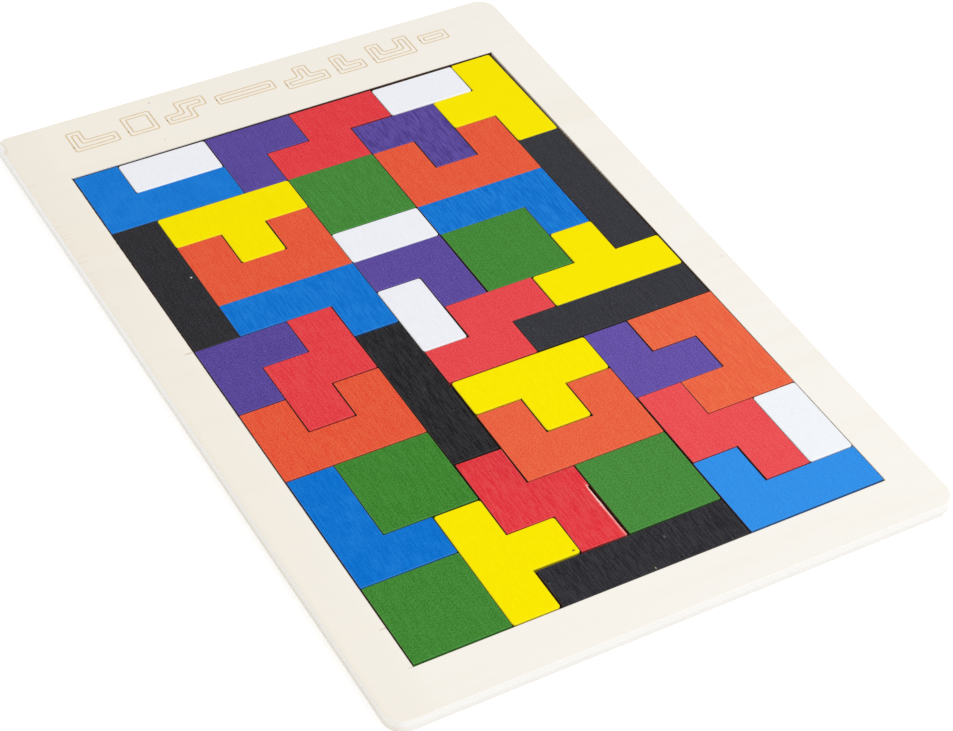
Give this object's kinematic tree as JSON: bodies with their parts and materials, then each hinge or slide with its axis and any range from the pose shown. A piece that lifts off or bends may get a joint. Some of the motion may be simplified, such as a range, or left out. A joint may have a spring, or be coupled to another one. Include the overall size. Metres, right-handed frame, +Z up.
{
  "type": "framed tetromino puzzle",
  "caption": "Flat packing puzzle: painted wooden blocks made of square cells fill the field of a shallow framed tray.",
  "frame": {"origin": "middle of the tray's underside", "axes": "+Z up out of the field, +Y along the tray towards its wide head margin, +X to the right"},
  "size_m": [0.1788, 0.2698, 0.0046],
  "materials": {
    "pale_wood": "bare plywood",
    "black_paint": "satin paint",
    "white_paint": "satin paint",
    "green_paint": "satin paint",
    "purple_paint": "satin paint",
    "blue_paint": "satin paint",
    "red_paint": "satin paint",
    "yellow_paint": "satin paint",
    "orange_paint": "satin paint"
  },
  "bodies": {
    "root": {"tray_base": "pale_wood", "tray_frame": "pale_wood", "bar_block_1": "black_paint", "bar_block_2": "black_paint", "bar_block_3": "black_paint", "bar_block_4": "black_paint", "bar_block_5": "black_paint", "domino_block_1": "white_paint", "domino_block_2": "white_paint", "domino_block_3": "white_paint", "domino_block_4": "white_paint", "domino_block_5": "white_paint", "square_block_1": "green_paint", "square_block_2": "green_paint", "square_block_3": "green_paint", "square_block_4": "green_paint", "square_block_5": "green_paint", "corner_block_1": "purple_paint", "corner_block_2": "purple_paint", "corner_block_3": "purple_paint", "corner_block_4": "purple_paint", "corner_block_5": "purple_paint", "ell_block_1": "blue_paint", "ell_block_2": "blue_paint", "ell_block_3": "blue_paint", "ell_block_4": "blue_paint", "ell_block_5": "blue_paint", "ess_block_1": "red_paint", "ess_block_2": "red_paint", "ess_block_3": "red_paint", "ess_block_4": "red_paint", "ess_block_5": "red_paint", "tee_block_1": "yellow_paint", "tee_block_2": "yellow_paint", "tee_block_3": "yellow_paint", "tee_block_4": "yellow_paint", "tee_block_5": "yellow_paint", "you_block_1": "orange_paint", "you_block_2": "orange_paint", "you_block_3": "orange_paint", "you_block_4": "orange_paint", "you_block_5": "orange_paint"}
  },
  "joints": []
}
